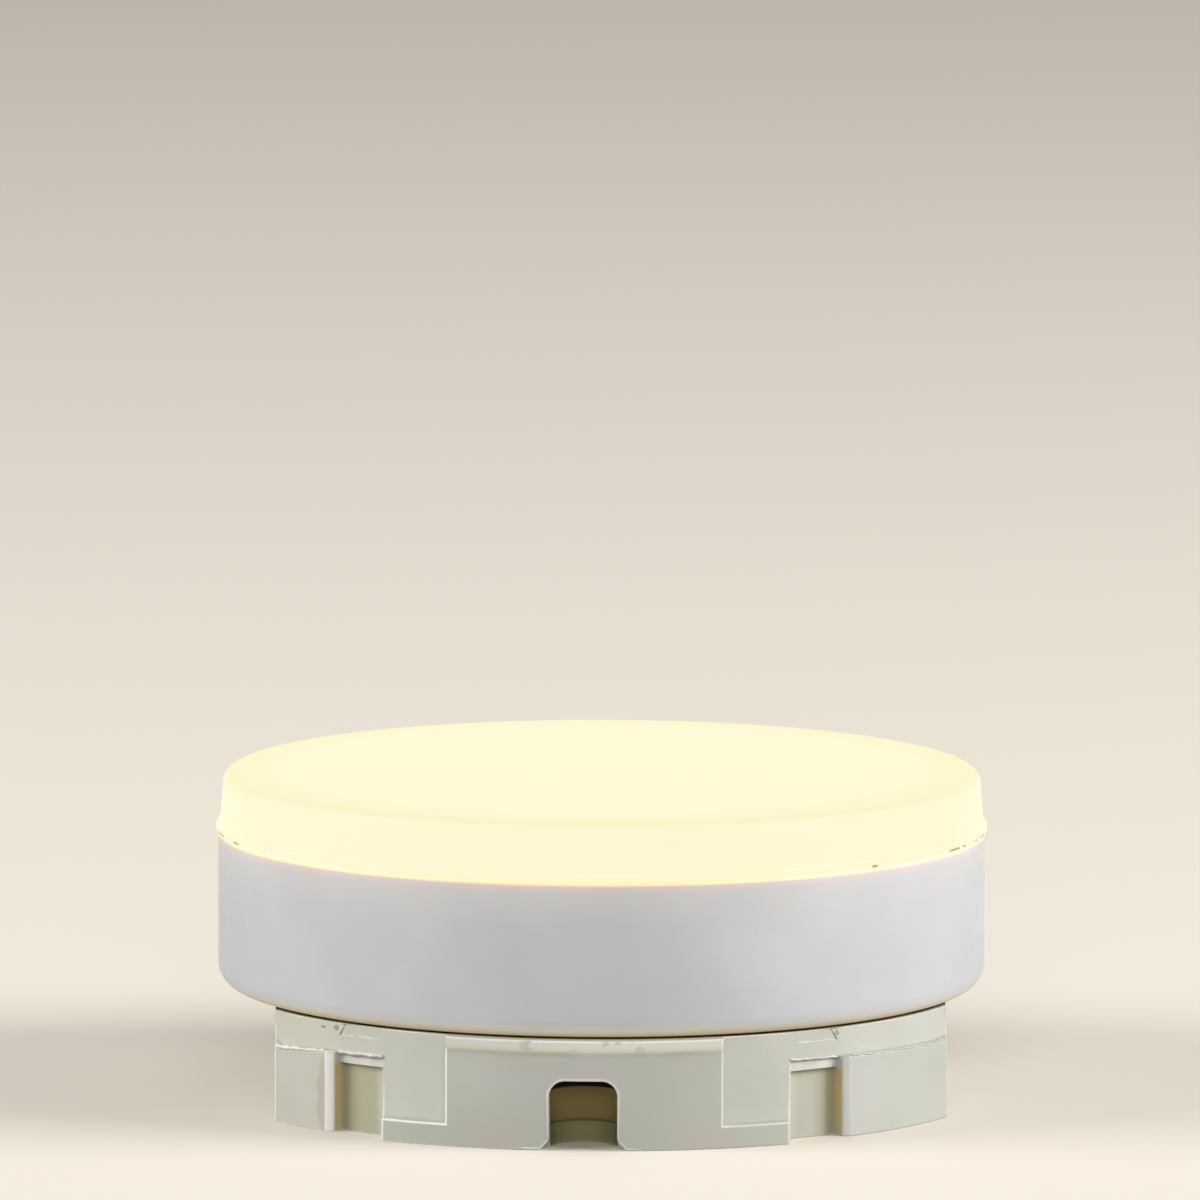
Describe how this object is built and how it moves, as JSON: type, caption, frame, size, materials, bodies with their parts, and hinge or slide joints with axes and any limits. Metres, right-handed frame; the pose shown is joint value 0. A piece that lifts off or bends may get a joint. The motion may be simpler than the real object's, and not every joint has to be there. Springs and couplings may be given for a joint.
{
  "type": "led disc lamp in a twist-lock holder",
  "caption": "Flat round led lamp with an opal lit face and a pinned twist cap, locked in a low ivory moulded holder with wire entries and fixing holes.",
  "frame": {"origin": "centre of the holder's flat back, on the lamp's axis", "axes": "+Z along the lamp's axis towards the lit face, -Y towards the front wire entry, +X towards the wider side flat"},
  "size_m": [0.075, 0.0768, 0.0313],
  "materials": {
    "white_housing": "smooth satin white moulding",
    "opal_diffuser": "opal diffusing plastic, lit warm white",
    "white_board": "metal-core board with white solder mask",
    "yellow_phosphor": "phosphor-filled package",
    "plated_steel": "zinc-plated steel",
    "green_board": "glass-fibre board",
    "dark_sleeve": "shrink sleeve over an aluminium can",
    "copper_coil": "lacquered copper winding",
    "ochre_case": "dipped resin case",
    "black_case": "moulded package",
    "blue_coat": "lacquered body",
    "red_sleeve": "insulated wire",
    "nickel_pin": "nickel-plated brass",
    "ivory_moulding": "ivory satin moulding",
    "ivory_plate": "ivory satin plate",
    "sprung_bronze": "rolled phosphor bronze",
    "brass_block": "machined brass"
  },
  "bodies": {
    "holder": {"holder_body": "ivory_moulding", "base_plate": "ivory_plate", "base_screws": "plated_steel", "contact_spring_left": "sprung_bronze", "contact_spring_right": "sprung_bronze", "terminal_block_left": "brass_block", "terminal_block_right": "brass_block", "terminal_screws": "plated_steel"},
    "lamp": {"lamp_housing": "white_housing", "diffuser": "opal_diffuser", "led_board": "white_board", "led_chips": "yellow_phosphor", "board_screws": "plated_steel", "driver_board": "green_board", "smoothing_capacitor": "dark_sleeve", "choke_coil": "copper_coil", "film_capacitor": "ochre_case", "rectifier": "black_case", "fuse_resistor": "blue_coat", "pin_leads": "red_sleeve", "link_pins": "nickel_pin", "contact_pin_left": "nickel_pin", "contact_pin_right": "nickel_pin"}
  },
  "joints": [
    {"name": "lamp_twist", "type": "hinge", "parent": "holder", "child": "lamp", "pos_m": [0, 0, 0.0104], "axis": [0, 0, 1], "range_deg": [0, 15]}
  ]
}
